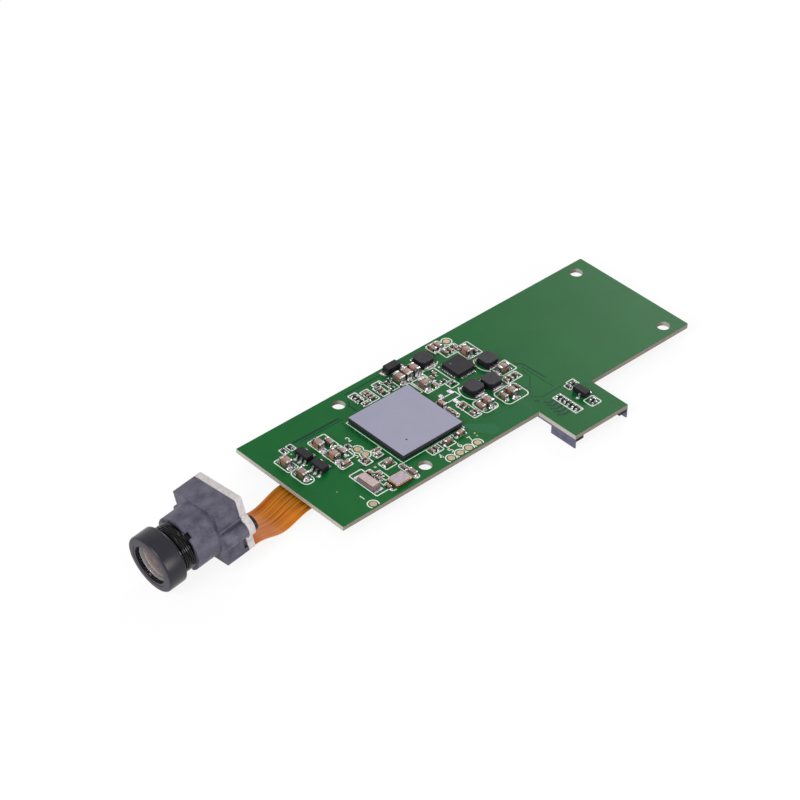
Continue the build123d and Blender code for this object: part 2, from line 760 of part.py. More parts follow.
bodies, ends = make_chips(large_chip, large_capacitor_places)
write("large_capacitor_bodies", bodies)
write("large_capacitor_ends", ends)
medium_bodies, medium_ends = make_chips(medium_chip, medium_capacitor_places)
small_bodies, small_ends = make_chips(small_chip, small_capacitor_places)
write("small_capacitor_bodies", medium_bodies + small_bodies)
write("small_capacitor_ends", medium_ends + small_ends)
row_x, row_y = resistor_row_place
row_steps = [(k - (resistor_row_count - 1) / 2) * resistor_row_pitch for k in range(resistor_row_count)]
row_places = tuple((row_x, row_y + step, False) for step in row_steps)
resistor_size = (small_chip[0], small_chip[1], resistor_height)
bodies, ends = make_chips(resistor_size, resistor_places + row_places)
write("resistor_bodies", bodies)
write("resistor_ends", ends)

long_base, long_lid = make_crystal(long_crystal_place, long_crystal)
write("long_crystal_base", [long_base])
write("long_crystal_lid", [long_lid])
clock_base, clock_lid = make_crystal(clock_crystal_place, clock_crystal)
write("clock_crystal_base", [clock_base])
write("clock_crystal_lid", [clock_lid])
write("solder_pads", flat_pads + make_crystal_pads())

shell, base, contacts = make_card_socket()
write("card_socket_shell", [shell])
write("card_socket_base", [base])
write("card_socket_contacts", contacts)

body, leads = make_flash()
write("flash_chip_body", [body])
write("flash_chip_leads", leads)

housing, contacts, latch = make_connector()
write("cable_connector_housing", [housing])
write("cable_connector_contacts", contacts)
write("cable_connector_latch", [latch])

cable, stiffener = make_cable()
write("flat_cable", [cable])
write("cable_stiffener", [stiffener])

unit_place = unit_plane().location
write("lens_holder", [unit_place * make_holder()])
write("lens_barrel", [unit_place * make_barrel()])
front_glass, middle_glass, rear_glass = make_glass()
write("front_lens", [unit_place * front_glass])
write("middle_lens", [unit_place * middle_glass])
write("rear_lens", [unit_place * rear_glass])
front_ring, rear_ring = make_rings()
write("front_lens_ring", [unit_place * front_ring])
write("rear_lens_ring", [unit_place * rear_ring])
sensor_board, sensor, sensor_glass, infrared_filter, screws = make_sensor_parts()
write("sensor_board", [unit_place * sensor_board])
write("image_sensor", [unit_place * sensor])
write("sensor_glass", [unit_place * sensor_glass])
write("infrared_filter", [unit_place * infrared_filter])
for number, screw in enumerate(screws, start=1):
    write(f"holder_screw_{number}", [unit_place * screw])
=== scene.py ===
import json
from math import cos, hypot, pi, radians, sin

import bmesh
import bpy
from mathutils import Matrix, Vector


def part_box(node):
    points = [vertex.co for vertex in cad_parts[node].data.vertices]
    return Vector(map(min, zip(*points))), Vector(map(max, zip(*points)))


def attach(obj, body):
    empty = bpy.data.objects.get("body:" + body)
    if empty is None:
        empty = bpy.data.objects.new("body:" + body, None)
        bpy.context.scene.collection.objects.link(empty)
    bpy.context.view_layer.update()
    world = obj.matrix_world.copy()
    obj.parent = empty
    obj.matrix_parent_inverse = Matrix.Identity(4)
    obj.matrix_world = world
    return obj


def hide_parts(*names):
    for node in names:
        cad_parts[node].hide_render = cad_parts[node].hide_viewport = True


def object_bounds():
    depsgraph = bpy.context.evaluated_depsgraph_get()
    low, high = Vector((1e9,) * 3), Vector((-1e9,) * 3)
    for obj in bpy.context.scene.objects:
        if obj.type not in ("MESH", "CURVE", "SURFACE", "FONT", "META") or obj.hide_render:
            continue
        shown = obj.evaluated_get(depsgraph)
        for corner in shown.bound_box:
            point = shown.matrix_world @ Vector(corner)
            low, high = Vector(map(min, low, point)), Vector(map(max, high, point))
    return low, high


# Looks of the camera module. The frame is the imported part, in metres. Places on the board are in
# millimetres, counted from its lens-end edge (x), its front long edge (y) and its chip side (z).
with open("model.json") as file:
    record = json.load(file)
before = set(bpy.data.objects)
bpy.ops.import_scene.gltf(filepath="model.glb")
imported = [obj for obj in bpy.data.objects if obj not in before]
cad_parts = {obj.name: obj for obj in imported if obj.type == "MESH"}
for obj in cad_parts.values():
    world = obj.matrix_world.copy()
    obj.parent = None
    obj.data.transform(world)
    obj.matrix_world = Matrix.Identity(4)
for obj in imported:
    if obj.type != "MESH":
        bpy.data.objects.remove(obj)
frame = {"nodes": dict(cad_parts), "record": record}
cad_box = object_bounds()
nodes = frame["nodes"]

MM = 0.001
board_width = 25.4
board_low, board_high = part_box("main_board")
floor_height = cad_box[0][2]


def at(x, y, z=0.0):
    """A place on the board, in metres in the frame."""
    return Vector((board_low.x + x * MM, board_high.y + (y - board_width) * MM, board_high.z + z * MM))


def board_place(spot):
    """The board's own x and y, in millimetres, of a place in the frame."""
    return (spot.x - board_low.x) / MM, (spot.y - board_high.y) / MM + board_width


def srgb(red, green, blue):
    """Linear colour of a screen colour given as 0 to 255."""
    def linear(value):
        share = value / 255
        return share / 12.92 if share <= 0.04045 else ((share + 0.055) / 1.055) ** 2.4
    return (linear(red), linear(green), linear(blue), 1.0)


# Materials

mask_gloss = 0.09
black_gloss = 0.18
cable_tracks = 14


class Shader:
    """A material with short forms for its nodes."""

    def __init__(self, name, **skin):
        self.material = bpy.data.materials.new(name)
        self.material.use_nodes = True
        self.tree = self.material.node_tree
        self.skin = self.tree.nodes["Principled BSDF"]
        self.place = self.node("ShaderNodeTexCoord").outputs["Object"]
        for socket, value in skin.items():
            self.skin.inputs[socket.replace("_", " ")].default_value = value

    def node(self, kind, **settings):
        made = self.tree.nodes.new(kind)
        for name, value in settings.items():
            setattr(made, name, value)
        return made

    def fill(self, socket, value):
        if isinstance(value, bpy.types.NodeSocket):
            self.tree.links.new(value, socket)
        else:
            socket.default_value = value

    def noise(self, size_mm, detail=3.0, roughness=0.5, where=None):
        """Soft noise from 0 to 1 whose patches are about this large."""
        made = self.node("ShaderNodeTexNoise")
        made.inputs["Scale"].default_value = 1 / (size_mm * MM)
        made.inputs["Detail"].default_value = detail
        made.inputs["Roughness"].default_value = roughness
        self.fill(made.inputs["Vector"], where or self.place)
        return made.outputs["Fac"]

    def math(self, operation, first, second=0.0, third=0.0):
        made = self.node("ShaderNodeMath", operation=operation)
        for socket, value in zip(made.inputs, (first, second, third)):
            self.fill(socket, value)
        return made.outputs["Value"]

    def weigh(self, share, first, second):
        """Two values in one: this share of the first, and the rest of the second."""
        return self.math("ADD", self.math("MULTIPLY", first, share), self.math("MULTIPLY", second, 1 - share))

    def ramp(self, value, low, high, start=0.0, end=1.0):
        """Straight change from start to end as the value goes from low to high."""
        made = self.node("ShaderNodeMapRange")
        for name, given in (("Value", value), ("From Min", low), ("From Max", high),
                            ("To Min", start), ("To Max", end)):
            self.fill(made.inputs[name], given)
        return made.outputs["Result"]

    def mix(self, share, first, second):
        """Colour between two colours."""
        made = self.node("ShaderNodeMix", data_type="RGBA")
        sockets = {socket.identifier: socket for socket in made.inputs}
        self.fill(sockets["Factor_Float"], share)
        self.fill(sockets["A_Color"], first)
        self.fill(sockets["B_Color"], second)
        return next(socket for socket in made.outputs if socket.identifier == "Result_Color")

    def axes(self, vector=None):
        """The three numbers of a vector."""
        made = self.node("ShaderNodeSeparateXYZ")
        self.fill(made.inputs[0], vector or self.place)
        return made.outputs

    def facing(self):
        """The surface's own direction at rest."""
        return self.axes(self.node("ShaderNodeTexCoord").outputs["Normal"])

    def colour(self, value):
        self.fill(self.skin.inputs["Base Color"], value)

    def rough(self, value):
        self.fill(self.skin.inputs["Roughness"], value)

    def bump(self, height, depth_mm, strength=1.0):
        made = self.node("ShaderNodeBump")
        made.inputs["Strength"].default_value = strength
        made.inputs["Distance"].default_value = depth_mm * MM
        self.fill(made.inputs["Height"], height)
        self.tree.links.new(made.outputs["Normal"], self.skin.inputs["Normal"])
        return self


def solder_mask():
    """Green lacquer over the copper, and the bare woven laminate at the cut edges. The laminate is painted
    paler on the edges that face along x: painted light, as if those edges were lit.
    """
    s = Shader("board_green", Specular_IOR_Level=mask_gloss)
    blotch = s.weigh(0.7, s.noise(9, 2), s.noise(0.5, 4))
    mask = s.mix(blotch, srgb(4, 78, 30), srgb(12, 98, 42))
    up = s.math("ABSOLUTE", s.facing()[2])
    height = s.axes()[2]
    layers = s.math("SINE", s.math("MULTIPLY", height, 2 * pi / (0.2 * MM)))
    weave = s.math("ADD", s.noise(0.3, 4, 0.7), s.math("MULTIPLY", layers, 0.12))
    # Painted light: laminate on the edges facing along x is painted paler than on the long edges, as if lit
    # from that side.
    painted_light_on_end_edges = s.math("ABSOLUTE", s.facing()[0])
    laminate = s.mix(s.ramp(painted_light_on_end_edges, 0.5, 0.9), s.mix(weave, srgb(98, 90, 82), srgb(150, 140, 130)),
                     s.mix(weave, srgb(140, 136, 128), srgb(196, 191, 183)))
    flat = s.ramp(up, 0.5, 0.6)
    s.colour(s.mix(flat, laminate, mask))
    s.rough(s.ramp(flat, 0, 1, 0.75, 0.34))
    return s.bump(s.noise(0.5, 3), 0.01, 0.35).material


def lacquered(name, dark, light):
    """Lacquer over a raised copper track."""
    s = Shader(name, Specular_IOR_Level=mask_gloss)
    s.colour(s.mix(s.noise(0.8, 3), srgb(*dark), srgb(*light)))
    s.rough(0.34)
    return s.bump(s.noise(0.2, 3), 0.004, 0.4).material


def ink():
    """White printed ink, thin in places."""
    s = Shader("print_white")
    s.colour(s.mix(s.noise(0.25, 4, 0.7), srgb(186, 200, 186), srgb(236, 238, 232)))
    s.rough(0.6)
    return s.bump(s.noise(0.08, 3), 0.004, 0.5).material


def gold():
    s = Shader("pad_gold", Metallic=1.0)
    s.colour(s.mix(s.noise(0.3), srgb(142, 124, 104), srgb(180, 160, 136)))
    s.rough(s.ramp(s.noise(0.15), 0.3, 0.7, 0.45, 0.6))
    return s.bump(s.noise(0.2, 2), 0.006, 0.4).material


def tin(name="solder_tin", dark=(78, 71, 75), light=(218, 211, 214), patch_mm=0.32):
    """Solder and plated metal, bright and dull in patches. The strong bright and dark patches are also
    painted reflections, standing in for highlights and shade.
    """
    s = Shader(name, Metallic=1.0)
    # Painted reflections: the near-white and dark patches of base colour stand in for highlights and shade on
    # the metal, as well as dull and bright solder.
    patch = s.ramp(s.noise(patch_mm, 3, 0.6), 0.4, 0.62)
    s.colour(s.mix(patch, srgb(*dark), srgb(*light)))
    s.rough(s.ramp(s.noise(0.2, 4), 0.3, 0.7, 0.18, 0.4))
    return s.bump(s.noise(0.16, 3), 0.03, 0.6).material


def moulded(name, dark, light, rough=0.55, grain_mm=0.06, depth=0.004, cloud_mm=1.2, gloss=0.5):
    """Moulded epoxy or plastic with a fine matt grain."""
    s = Shader(name, Specular_IOR_Level=gloss)
    s.colour(s.mix(s.noise(cloud_mm, 4), srgb(*dark), srgb(*light)))
    s.rough(s.ramp(s.noise(0.2), 0.3, 0.7, rough - 0.07, rough + 0.07))
    return s.bump(s.noise(grain_mm, 4, 0.7), depth, 0.6).material


def chip_top():
    """Matt lilac-grey face of the large chip, with near-black sides."""
    s = Shader("package_grey")
    speck = s.weigh(0.6, s.noise(0.06, 2, 0.7), s.noise(3, 3))
    face = s.mix(speck, srgb(128, 126, 146), srgb(150, 148, 170))
    side = s.mix(s.noise(0.4, 3), srgb(30, 27, 32), srgb(48, 44, 50))
    s.colour(s.mix(s.ramp(s.facing()[2], 0.6, 0.9), side, face))
    s.rough(s.ramp(s.noise(0.1), 0.3, 0.7, 0.5, 0.62))
    return s.bump(s.noise(0.05, 4, 0.7), 0.003, 0.6).material


def ceramic(name, dark, light, rough=0.35):
    """Fired ceramic with faint clouding."""
    s = Shader(name, Specular_IOR_Level=0.3)
    s.colour(s.mix(s.noise(0.5, 5, 0.6), srgb(*dark), srgb(*light)))
    s.rough(rough)
    return s.bump(s.noise(0.05, 3), 0.003, 0.5).material


def capacitor_body():
    """Brown ceramic, redder on some parts and greyer on others, with a painted pale sheen on the top faces.
    """
    s = Shader("capacitor_ceramic", Specular_IOR_Level=0.35)
    batch = s.ramp(s.noise(2.6, 2), 0.4, 0.6)
    side = s.mix(batch, srgb(108, 76, 60), srgb(150, 104, 80))
    # Painted sheen: the top faces are paler and patched with pale grey-pink, standing in for reflected light.
    top = s.mix(batch, srgb(118, 92, 84), srgb(158, 118, 98))
    s.colour(s.mix(s.ramp(s.facing()[2], 0.4, 0.9), side, s.mix(s.noise(0.5, 4), top, srgb(148, 126, 118))))
    s.rough(0.35)
    return s.bump(s.noise(0.06, 3), 0.004, 0.5).material


def crystal_cap():
    """Grey-pink metal lid whose rounded rim catches a warm tone."""
    s = Shader("crystal_lid", Metallic=1.0)
    top = s.mix(s.noise(0.4, 4, 0.6), srgb(140, 124, 124), srgb(184, 166, 166))
    s.colour(s.mix(s.ramp(s.facing()[2], 0.8, 0.97), srgb(232, 190, 156), top))
    s.rough(s.ramp(s.noise(0.3, 3), 0.3, 0.7, 0.3, 0.5))
    return s.bump(s.noise(0.2, 2), 0.004, 0.4).material


def steel(name, dark, light, low=0.25, high=0.4):
    s = Shader(name, Metallic=1.0)
    s.colour(s.mix(s.noise(0.8, 3), srgb(*dark), srgb(*light)))
    s.rough(s.ramp(s.noise(0.3, 3), 0.3, 0.7, low, high))
    return s.bump(s.noise(0.2, 2), 0.004, 0.4).material


def glass(name, dark, light):
    s = Shader(name, IOR=1.5, Roughness=0.02, Specular_IOR_Level=0.15)
    s.skin.inputs["Transmission Weight"].default_value = 1.0
    s.colour(s.mix(s.noise(2), srgb(*dark), srgb(*light)))
    return s.material


def amber_film():
    """Amber film over lengthwise copper tracks, pale by the lens unit. By the board it is dark between the
    tracks: partly the copper tracks, partly the board's painted shadow.
    """
    s = Shader("cable_amber", Specular_IOR_Level=0.15)
    chart = s.node("ShaderNodeTexCoord").outputs["UV"]
    drawn = s.node("ShaderNodeMapping")
    s.fill(drawn.inputs["Vector"], chart)
    drawn.inputs["Scale"].default_value = (0.6, 12, 1)
    streaks = s.node("ShaderNodeTexNoise", noise_dimensions="2D")
    s.fill(streaks.inputs["Vector"], drawn.outputs["Vector"])
    streaks.inputs["Scale"].default_value = 2.2
    streaks.inputs["Detail"].default_value = 4
    line = streaks.outputs["Fac"]
    along, across = s.axes(chart)[:2]
    wavered = s.math("ADD", across, s.math("MULTIPLY", line, 0.12))
    wave = s.math("SINE", s.math("MULTIPLY", wavered, 2 * pi * cable_tracks))
    copper = s.ramp(s.math("ADD", s.math("MULTIPLY", wave, 0.5), s.math("MULTIPLY", line, 4.5)), 1.75, 2.5)
    near_unit = s.mix(s.ramp(line, 0.35, 0.65), srgb(196, 110, 50), srgb(214, 128, 66))
    middle = s.mix(s.ramp(line, 0.42, 0.6), srgb(186, 92, 10), srgb(226, 144, 34))
    # Copper tracks, and painted shadow of the board: the film between the tracks is painted near-black-brown
    # where the board shades the cable.
    tracks_and_painted_board_shadow = s.mix(copper, srgb(52, 30, 1), srgb(176, 110, 2))
    free = s.mix(s.ramp(along, 0.44, 0.62), near_unit, middle)
    s.colour(s.mix(s.ramp(along, 0.68, 0.82), free, tracks_and_painted_board_shadow))
    s.rough(s.ramp(s.noise(0.6), 0.3, 0.7, 0.28, 0.42))
    return s.bump(line, 0.004, 0.4).material


def mould_streaks(name, dark, light):
    """Moulded plastic with soft dark streaks, as worn tooling leaves."""
    s = Shader(name, Specular_IOR_Level=0.35)
    patch = s.weigh(0.65, s.noise(2.2, 3), s.noise(0.35, 4, 0.7))
    s.colour(s.mix(s.ramp(patch, 0.36, 0.64), srgb(*dark), srgb(*light)))
    s.rough(s.ramp(s.noise(0.5, 3), 0.3, 0.7, 0.42, 0.6))
    return s.bump(s.noise(0.1, 4, 0.7), 0.012, 0.5).material


def barrel_finish():
    """Darker satin barrel whose front face is rougher, and is also painted paler grey as painted light, as if
    the key light fell on that face.
    """
    s = Shader("barrel_black", Specular_IOR_Level=0.3)
    lean = s.node("ShaderNodeVectorMath", operation="DOT_PRODUCT")
    s.fill(lean.inputs[0], s.node("ShaderNodeTexCoord").outputs["Normal"])
    lean.inputs[1].default_value = (-cos(unit_dip), 0, -sin(unit_dip))
    # Painted light: faces looking out of the lens are painted paler grey than the side, and they are also
    # rougher.
    front = s.ramp(lean.outputs["Value"], 0.6, 0.95)
    cloud = s.noise(1.5, 4)
    side = s.mix(cloud, srgb(16, 15, 24), srgb(34, 31, 41))
    s.colour(s.mix(front, side, s.mix(cloud, srgb(36, 34, 44), srgb(50, 48, 59))))
    s.rough(s.ramp(front, 0, 1, 0.3, 0.45))
    return s.bump(s.noise(0.06, 4, 0.7), 0.003, 0.6).material


def inner_glass():
    """Coated element behind the front glass: dark red-brown, with a painted amber reflection at its middle
    and painted shade darkening it towards its rim.
    """
    s = Shader("inner_glass", Specular_IOR_Level=0.2)
    from_middle = s.node("ShaderNodeVectorMath", operation="DISTANCE")
    s.fill(from_middle.inputs[0], s.place)
    from_middle.inputs[1].default_value = unit @ Vector((0, 0, inner_crown))
    span = s.math("DIVIDE", from_middle.outputs["Value"], MM)
    # Painted reflection: a bright amber spot round the middle. Painted shade: darker towards the rim, where
    # the recess shades it.
    glow = s.ramp(span, 0.35, 1.3, 1, 0)
    rim = s.ramp(span, 1.6, 2.7)
    brown = s.mix(s.noise(1.2, 3), srgb(78, 48, 42), srgb(104, 68, 60))
    s.colour(s.mix(glow, s.mix(rim, brown, srgb(52, 24, 20)), srgb(246, 122, 58)))
    s.rough(0.4)
    return s.material


# Lens unit: its own frame, with z out of the lens

unit_dip = radians(8.8)
unit_roll = radians(8.0)
unit_place = (-19.2, 11.0)
head_diameter = 9.85
head_start = 6.8
head_end = 10.2
head_front_radius = 0.35
head_back_radius = 0.3
neck_diameter = 7.6
neck_start = 6.3
thread_crest = 8.2
thread_root = 7.8
thread_pitch = 0.35
barrel_back = 0.6
front_bore_radius = 3.8
front_bore_floor = 8.7
middle_bore_radius = 2.8
middle_bore_floor = 5.6
stop_radius = 1.4
stop_floor = 2.6
rear_bore_radius = 2.3
thread_rows = 110
turned_steps = 96
tip_radius = 0.02
inner_crown = 8.46
front_seat = 8.73
front_glass_radius = 3.77
front_glass_edge = 0.95
front_dome = 0.4
front_hollow = 0.45
block_size = 10.1
block_depth = 4.25
sensor_board_thickness = 1.2
unit_rise = head_diameter / 2 * cos(unit_dip) + (head_end - head_front_radius) * sin(unit_dip)


def unit_matrix():
    """From the lens unit's millimetres to the frame's metres."""
    out = Vector((-cos(unit_dip), 0, -sin(unit_dip)))
    level_up = Vector((-sin(unit_dip), 0, cos(unit_dip)))
    right = Vector((0, -1, 0)) * cos(unit_roll) + level_up * sin(unit_roll)
    up = out.cross(right)
    place = at(*unit_place)
    place.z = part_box("card_socket_shell")[0].z + unit_rise * MM
    turn = Matrix((right, up, out)).transposed().to_4x4()
    return Matrix.Translation(place) @ turn @ Matrix.Scale(MM, 4)


unit = unit_matrix()
materials = {
    "board_green": solder_mask(),
    "pad_gold": gold(),
    "solder_tin": tin(),
    "package_black": moulded("package_black", (14, 13, 16), (30, 28, 33), gloss=black_gloss),
    "package_grey": chip_top(),
    "inductor_dark": moulded("inductor_dark", (8, 8, 12), (34, 32, 42), 0.4, 0.12, 0.03, 0.4, black_gloss),
    "capacitor_ceramic": capacitor_body(),
    "resistor_ceramic": ceramic("resistor_ceramic", (20, 19, 23), (40, 38, 44)),
    "crystal_ceramic": ceramic("crystal_ceramic", (92, 84, 96), (126, 116, 128), 0.4),
    "crystal_lid": crystal_cap(),
    "socket_steel": steel("socket_steel", (70, 70, 90), (124, 124, 146)),
    "connector_nylon": moulded("connector_nylon", (196, 188, 170), (214, 207, 190), 0.5),
    "cable_amber": amber_film(),
    "holder_plastic": mould_streaks("holder_plastic", (52, 50, 66), (92, 88, 104)),
    "barrel_black": barrel_finish(),
    "lens_glass": glass("lens_glass", (176, 136, 126), (188, 148, 138)),
    "sensor_board_pale": moulded("sensor_board_pale", (150, 143, 143), (214, 208, 208), 0.6, 0.12, 0.02, 0.5),
    "sensor_ceramic": ceramic("sensor_ceramic", (70, 70, 74), (90, 90, 94)),
    "sensor_window": glass("sensor_window", (220, 228, 235), (228, 236, 242)),
    "infrared_glass": glass("infrared_glass", (225, 170, 165), (235, 180, 172)),
    "screw_black": moulded("screw_black", (18, 18, 22), (34, 34, 40), 0.35, gloss=black_gloss),
}
print_white = ink()
thread_gloss = moulded("thread_gloss", (4, 4, 6), (10, 10, 12), 0.14, 0.05, 0.001, gloss=0.45)
bore_dark = moulded("bore_dark", (22, 15, 15), (32, 22, 21), 0.6, gloss=0.1)
# Painted highlight: a brighter copy of the solder tin for the leads and their solder, as if they caught the
# light.
painted_highlight_tin = tin("painted_highlight_tin", (150, 144, 150), (250, 247, 250))
pad_lilac = tin("pad_lilac", (146, 138, 148), (196, 190, 200), 0.8)
rim_gold = steel("rim_gold", (222, 166, 96), (250, 206, 140), 0.25, 0.4)
lid_silver = steel("lid_silver", (122, 112, 120), (172, 162, 170), 0.3, 0.5)
clock_side = ceramic("clock_side", (46, 38, 38), (70, 58, 56))
track_green = lacquered("track_green", (20, 90, 50), (28, 98, 58))
track_dark = lacquered("track_dark", (2, 48, 36), (6, 58, 42))


def dress_frame():
    """Give each node of the frame the material of its slot."""
    slots = {row["node"]: row["material_slot"] for row in frame["record"]["subparts"]}
    for name, node in nodes.items():
        node.data.materials.clear()
        node.data.materials.append(materials[slots[name]])
    # The leads take the brighter tin copy, a painted highlight.
    for name in ("regulator_1_leads", "regulator_2_leads", "transistor_leads", "power_chip_leads"):
        nodes[name].data.materials[0] = painted_highlight_tin
    nodes["clock_crystal_base"].data.materials[0] = clock_side
    nodes["solder_pads"].data.materials[0] = pad_lilac


def soften(names, width_mm, steps=2):
    """Round the edges of CAD nodes a little."""
    for name in names:
        weld = nodes[name].modifiers.new("weld", "WELD")
        weld.merge_threshold = 0.0005 * MM
        bevel = nodes[name].modifiers.new("soften", "BEVEL")
        bevel.width = width_mm * MM
        bevel.segments = steps
        bevel.limit_method = "ANGLE"
        bevel.angle_limit = radians(40)
        bevel.harden_normals = False


dress_frame()
soften(("processor_cap", "processor_substrate"), 0.05)
soften(("power_chip_body", "regulator_1_body", "regulator_2_body", "transistor_body", "diode_body"), 0.05)
soften(("inductor_bodies",), 0.1)
soften(("long_crystal_lid", "long_crystal_base", "clock_crystal_base"), 0.06)
soften(("card_socket_shell", "holder_screw_1", "holder_screw_2"), 0.06)
soften(("sensor_board",), 0.12)
soften(("lens_holder",), 0.15)


# Mesh helpers

def add_piece(name, mesh, body, material, replaced=(), smooth=False):
    """Put a mesh into the scene on a body of the frame."""
    if isinstance(mesh, bmesh.types.BMesh):
        bmesh.ops.recalc_face_normals(mesh, faces=mesh.faces)
        made = bpy.data.meshes.new(name)
        mesh.to_mesh(made)
        mesh.free()
        mesh = made
    piece = bpy.data.objects.new(name, mesh)
    bpy.context.scene.collection.objects.link(piece)
    mesh.materials.append(material)
    if smooth:
        mesh.polygons.foreach_set("use_smooth", [True] * len(mesh.polygons))
        mesh.set_sharp_from_angle(angle=radians(38))
    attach(piece, body)
    if replaced:
        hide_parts(*replaced)
    return piece


def solid_boxes(name):
    """Lowest and highest corner of each separate solid of a CAD node."""
    mesh = nodes[name].data
    keys = [tuple(round(value / MM * 2000) for value in vertex.co) for vertex in mesh.vertices]
    parent = {key: key for key in keys}

    def top(key):
        while parent[key] != key:
            key = parent[key]
        return key

    for face in mesh.polygons:
        first = top(keys[face.vertices[0]])
        for index in face.vertices[1:]:
            parent[top(keys[index])] = first
    groups = {}
    for key in sorted(parent):
        groups.setdefault(top(key), []).append(key)
    corners = []
    for keys in groups.values():
        low = Vector([min(key[k] for key in keys) for k in range(3)]) * MM / 2000
        high = Vector([max(key[k] for key in keys) for k in range(3)]) * MM / 2000
        corners.append((low, high))
    return corners


def rounded_box(bm, low, high, radius, steps=2):
    """Box with rounded edges."""
    matrix = Matrix.Translation((low + high) / 2) @ Matrix.Diagonal((*(high - low), 1))
    made = bmesh.ops.create_cube(bm, size=1, matrix=matrix)
    edges = list({edge for vertex in made["verts"] for edge in vertex.link_edges})
    bmesh.ops.bevel(bm, geom=edges, offset=radius, segments=steps, profile=0.5, affect="EDGES")


def ribbon(bm, points, width, closed=False, thick=0.015, base=0.0):
    """Flat line of this width on the board, with mitred corners and low sides."""
    count = len(points)
    rings = []
    for k, (x, y) in enumerate(points):
        before = points[k - 1] if closed or k else points[k]
        after = points[(k + 1) % count] if closed or k < count - 1 else points[k]
        steps = []
        for start, end in ((before, (x, y)), ((x, y), after)):
            length = hypot(end[0] - start[0], end[1] - start[1])
            if length:
                steps.append(((end[0] - start[0]) / length, (end[1] - start[1]) / length))
        first, last = steps[0], steps[-1]
        normal = Vector((-first[1] - last[1], first[0] + last[0])).normalized()
        reach = width / 2 / max(0.5, normal.x * -first[1] + normal.y * first[0])
        left = (x + normal.x * reach, y + normal.y * reach)
        right = (x - normal.x * reach, y - normal.y * reach)
        low, high = base - 0.005, base + thick
        rings.append([bm.verts.new(at(*spot, z)) for spot, z in
                      ((left, low), (left, high), (right, high), (right, low))])
    for k in range(count if closed else count - 1):
        here, there = rings[k], rings[(k + 1) % count]
        for side in range(4):
            bm.faces.new((here[side], here[(side + 1) % 4], there[(side + 1) % 4], there[side]))
    if not closed:
        bm.faces.new(rings[0])
        bm.faces.new(rings[-1][::-1])


def slab(bm, outline, thick, base=0.0):
    """Thin plate on the board with this outline."""
    tops = [bm.verts.new(at(x, y, base + thick)) for x, y in outline]
    feet = [bm.verts.new(at(x, y, base - 0.005)) for x, y in outline]
    bm.faces.new(tops)
    bm.faces.new(feet[::-1])
    for k in range(len(outline)):
        after = (k + 1) % len(outline)
        bm.faces.new((feet[k], feet[after], tops[after], tops[k]))


def round_outline(x0, y0, x1, y1, radius, steps=4):
    """Points of a rectangle with rounded corners."""
    radius = min(radius, (x1 - x0) / 2 - 0.01, (y1 - y0) / 2 - 0.01)
    points = []
    for corner, (x, y) in enumerate(((x1 - radius, y1 - radius), (x0 + radius, y1 - radius),
                                     (x0 + radius, y0 + radius), (x1 - radius, y0 + radius))):
        for k in range(steps + 1):
            angle = pi / 2 * (corner + k / steps)
            points.append((x + radius * cos(angle), y + radius * sin(angle)))
    return points


def circle(x, y, radius, steps=28):
    """Points of a circle."""
    angles = [2 * pi * k / steps for k in range(steps)]
    return [(x + radius * cos(angle), y + radius * sin(angle)) for angle in angles]


def arc(x, y, radius, start, end, steps=22):
    """Points of a stretch of a circle, between two angles in degrees."""
    angles = [radians(start + (end - start) * k / steps) for k in range(steps + 1)]
    return [(x + radius * cos(angle), y + radius * sin(angle)) for angle in angles]


def solder_mound(bm, foot, out, width, height, reach, inside):
    """Solder that climbs a metal end: highest at the end's face, hollow towards the pad's rim."""
    side = Vector((-out.y, out.x, 0))
    shares = (-1, -0.86, -0.5, 0, 0.5, 0.86, 1)
    rows = []
    climb = ((-inside, 0), (-inside + 0.03, 1), (0, 1), (0.12, 0.62), (0.35, 0.3), (0.68, 0.1), (1, 0))
    for along, level in climb:
        offset = along * reach if along > 0 else along * MM
        row = []
        for share in shares:
            lift = height * level * (1 - abs(share) ** 3)
            pull = 1 - 0.12 * max(0, along) * abs(share) ** 2
            spot = foot + out * offset * pull + side * (share * width / 2) + Vector((0, 0, lift))
            row.append(bm.verts.new(spot))
        rows.append(row)
    for here, there in zip(rows, rows[1:]):
        for k in range(len(shares) - 1):
            bm.faces.new((here[k], here[k + 1], there[k + 1], there[k]))
    rim = rows[0][:] + [row[-1] for row in rows[1:]] + rows[-1][-2::-1] + [row[0] for row in rows[-2:0:-1]]
    bm.faces.new(rim)


def outward(away, along_x):
    """Unit direction along x or y, to the side that this vector points to."""
    if along_x:
        return Vector((1 if away.x > 0 else -1, 0, 0))
    return Vector((0, 1 if away.y > 0 else -1, 0))


# Chips with two metal ends

def dress_chips(kind, slot, body_radius, climb):
    """Rounded bodies and ends in place of the CAD boxes, and the solder at their feet."""
    bodies = f"{kind}_bodies"
    ends = f"{kind}_ends"
    body_boxes = solid_boxes(bodies)
    end_boxes = solid_boxes(ends)
    bm = bmesh.new()
    for low, high in body_boxes:
        rounded_box(bm, low, high, body_radius * MM)
    add_piece(bodies, bm, "board", materials[slot], (bodies,), True)
    bm = bmesh.new()
    solder = bmesh.new()
    for low, high in end_boxes:
        rounded_box(bm, low, high, 1.4 * body_radius * MM, 3)
        middle = (low + high) / 2
        owner = min(body_boxes, key=lambda box: ((box[0] + box[1]) / 2 - middle).xy.length)
        away = middle - (owner[0] + owner[1]) / 2
        along_x = abs(away.x) > abs(away.y)
        out = outward(away, along_x)
        size = high - low
        width = size.y if along_x else size.x
        face = size.x / 2 if along_x else size.y / 2
        foot = Vector((middle.x, middle.y, board_high.z)) + out * face
        reach = 0.45 * width + 0.05 * MM
        solder_mound(solder, foot, out, 1.12 * width, climb * size.z, reach, face / MM)
    add_piece(ends, bm, "board", materials["solder_tin"], (ends,), True)
    add_piece(f"{kind}_solder", solder, "board", materials["solder_tin"], (), True)


